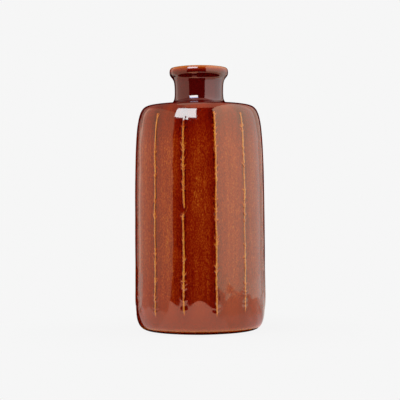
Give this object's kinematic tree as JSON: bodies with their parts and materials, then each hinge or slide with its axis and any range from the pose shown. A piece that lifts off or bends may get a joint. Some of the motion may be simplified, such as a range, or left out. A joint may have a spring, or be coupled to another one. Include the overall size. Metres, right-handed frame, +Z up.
{
  "type": "ceramic vase",
  "caption": "Tall glazed stoneware bottle vase with rounded heel, soft shoulder, short waisted neck, thick rounded lip and fine raised vertical slip lines; stands free and holds cut stems.",
  "frame": {"origin": "on the table under the vase's centre, in the plane of the foot ring's underside", "axes": "+Z up along the vase's axis towards the mouth; the pictured front faces -Y, with +X to its right"},
  "size_m": [0.1242, 0.124, 0.25],
  "materials": {
    "iron_red_glaze": "gloss",
    "amber_slip_line": "gloss",
    "bare_stoneware": "matte"
  },
  "bodies": {
    "root": {"foot_ring": "bare_stoneware", "base_dish": "iron_red_glaze", "body_wall": "iron_red_glaze", "shoulder": "iron_red_glaze", "neck": "iron_red_glaze", "lip_ring": "iron_red_glaze", "slip_line_01": "amber_slip_line", "slip_line_02": "amber_slip_line", "slip_line_03": "amber_slip_line", "slip_line_04": "amber_slip_line", "slip_line_05": "amber_slip_line", "slip_line_06": "amber_slip_line", "slip_line_07": "amber_slip_line", "slip_line_08": "amber_slip_line", "slip_line_09": "amber_slip_line", "slip_line_10": "amber_slip_line", "slip_line_11": "amber_slip_line", "slip_line_12": "amber_slip_line", "slip_line_13": "amber_slip_line"}
  },
  "joints": []
}
